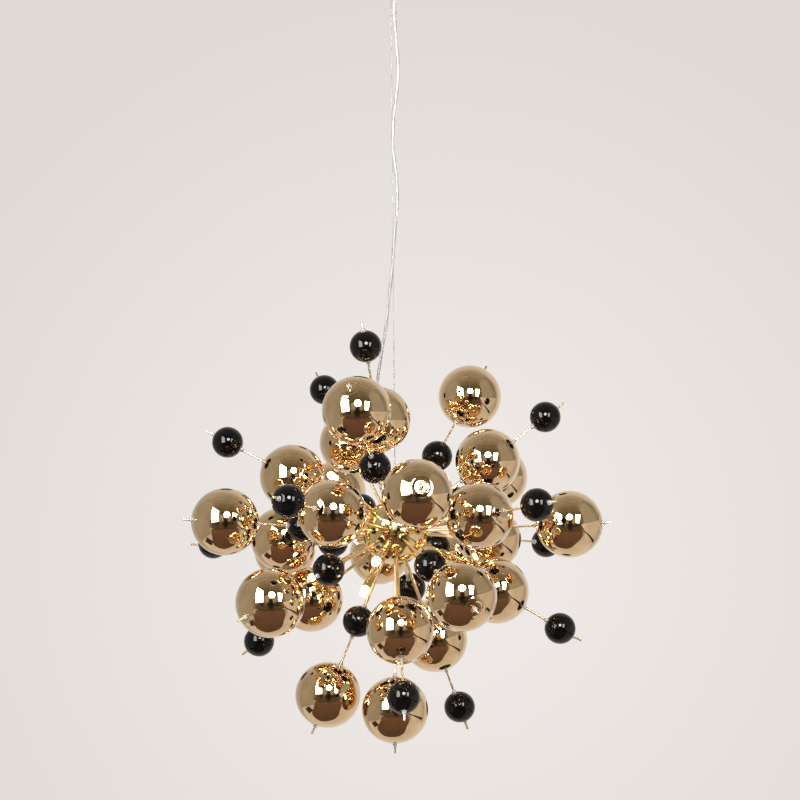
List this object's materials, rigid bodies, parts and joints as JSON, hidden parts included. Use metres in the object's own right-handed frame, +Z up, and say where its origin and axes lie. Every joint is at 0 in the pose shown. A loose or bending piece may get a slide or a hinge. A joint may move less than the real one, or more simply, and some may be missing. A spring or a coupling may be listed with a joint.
{
  "type": "sputnik chandelier",
  "caption": "Hanging sputnik light: a brass ball hub with straight rods that carry gold and black glass globes, with small capsule lamps between them, on a steel wire and clear cable.",
  "frame": {"origin": "middle of the ceiling plate's upper face, between its two screw holes", "axes": "+Z up into the ceiling, +X to the right and -Y towards the viewer of the front"},
  "size_m": [0.9695, 0.9669, 1.8528],
  "materials": {
    "polished_brass": "polished",
    "brass_rod": "satin polished",
    "gold_glass": "mirrored gold glass",
    "black_glass": "glossy black glass",
    "clear_plastic": "clear",
    "clear_cable": "clear sheath over tinned wire",
    "steel": "plain",
    "galvanised_steel": "galvanised",
    "nickel": "nickel plated",
    "ceramic": "white ceramic",
    "white_plastic": "matte",
    "bulb_glass": "frosted, lit",
    "lead_sleeve": "white silicone insulation"
  },
  "bodies": {
    "ceiling": {"ceiling_plate": "galvanised_steel"},
    "pendant": {"cable_clips": "clear_plastic", "cable_gland": "clear_plastic", "cable_tail_ceiling": "clear_cable", "cable_tail_hub": "clear_cable", "canopy": "polished_brass", "canopy_screws": "polished_brass", "cord_grip": "clear_plastic", "cord_grip_nut": "clear_plastic", "gland_nut": "clear_plastic", "gripper_body": "nickel", "gripper_spring": "steel", "hanger_nipple": "polished_brass", "hub_cap_nut": "polished_brass", "hub_connector_block": "white_plastic", "hub_lower_shell": "polished_brass", "hub_seam_ring": "polished_brass", "hub_upper_shell": "polished_brass", "lamp_holders": "ceramic", "lamp_leads": "lead_sleeve", "lamp_sleeves": "polished_brass", "lamp_tube_nuts": "galvanised_steel", "lamp_tubes": "polished_brass", "lower_black_globes": "black_glass", "lower_gold_globes": "gold_glass", "lower_grommets": "clear_plastic", "lower_rods": "brass_rod", "lower_spacer_tubes": "brass_rod", "middle_black_globes": "black_glass", "middle_gold_globes": "gold_glass", "middle_grommets": "clear_plastic", "middle_rods": "brass_rod", "middle_spacer_tubes": "brass_rod", "power_cable": "clear_cable", "rod_nuts": "galvanised_steel", "suspension_wire": "steel", "swivel_stud": "galvanised_steel", "terminal_block": "white_plastic", "terminal_screws": "nickel", "tie_tube": "galvanised_steel", "upper_black_globes": "black_glass", "upper_gold_globes": "gold_glass", "upper_grommets": "clear_plastic", "upper_rods": "brass_rod", "upper_spacer_tubes": "brass_rod", "wire_ferrule": "galvanised_steel"},
    "release_plunger": {"gripper_plunger": "nickel", "clamping_balls": "steel"},
    "bulb_1": {"bulb_1": "bulb_glass"},
    "bulb_2": {"bulb_2": "bulb_glass"},
    "bulb_3": {"bulb_3": "bulb_glass"},
    "bulb_4": {"bulb_4": "bulb_glass"},
    "bulb_5": {"bulb_5": "bulb_glass"},
    "bulb_6": {"bulb_6": "bulb_glass"},
    "bulb_7": {"bulb_7": "bulb_glass"},
    "bulb_8": {"bulb_8": "bulb_glass"},
    "bulb_9": {"bulb_9": "bulb_glass"},
    "bulb_10": {"bulb_10": "bulb_glass"}
  },
  "joints": [
    {"name": "pendant_turn", "type": "hinge", "parent": "ceiling", "child": "pendant", "pos_m": [0, 0, -0.008], "axis": [0, 0, 1], "range_deg": [-90, 90]},
    {"name": "plunger_press", "type": "slide", "parent": "pendant", "child": "release_plunger", "axis": [0, 0, 1], "range_m": [0, 0.0025], "stiffness_N_per_m": 1500, "springref_m": -0.003, "deforming": ["gripper_spring"]},
    {"name": "bulb_1_pull", "type": "slide", "parent": "pendant", "child": "bulb_1", "axis": [-0.6533, -0.4406, 0.6157], "range_m": [0, 0.012]},
    {"name": "bulb_2_pull", "type": "slide", "parent": "pendant", "child": "bulb_2", "axis": [-0.8808, -0.0616, -0.4695], "range_m": [0, 0.012]},
    {"name": "bulb_3_pull", "type": "slide", "parent": "pendant", "child": "bulb_3", "axis": [-0.2017, -0.9491, -0.2419], "range_m": [0, 0.012]},
    {"name": "bulb_4_pull", "type": "slide", "parent": "pendant", "child": "bulb_4", "axis": [-0.3239, -0.7631, -0.5592], "range_m": [0, 0.012]},
    {"name": "bulb_5_pull", "type": "slide", "parent": "pendant", "child": "bulb_5", "axis": [0.7912, 0.4568, -0.4067], "range_m": [0, 0.012]},
    {"name": "bulb_6_pull", "type": "slide", "parent": "pendant", "child": "bulb_6", "axis": [0.118, 0.8398, 0.5299], "range_m": [0, 0.012]},
    {"name": "bulb_7_pull", "type": "slide", "parent": "pendant", "child": "bulb_7", "axis": [0.9418, 0.306, 0.1392], "range_m": [0, 0.012]},
    {"name": "bulb_8_pull", "type": "slide", "parent": "pendant", "child": "bulb_8", "axis": [-0.7405, 0.5785, 0.342], "range_m": [0, 0.012]},
    {"name": "bulb_9_pull", "type": "slide", "parent": "pendant", "child": "bulb_9", "axis": [-0.4174, 0.8951, -0.1564], "range_m": [0, 0.012]},
    {"name": "bulb_10_pull", "type": "slide", "parent": "pendant", "child": "bulb_10", "axis": [0.6037, -0.4716, -0.6428], "range_m": [0, 0.012]}
  ]
}
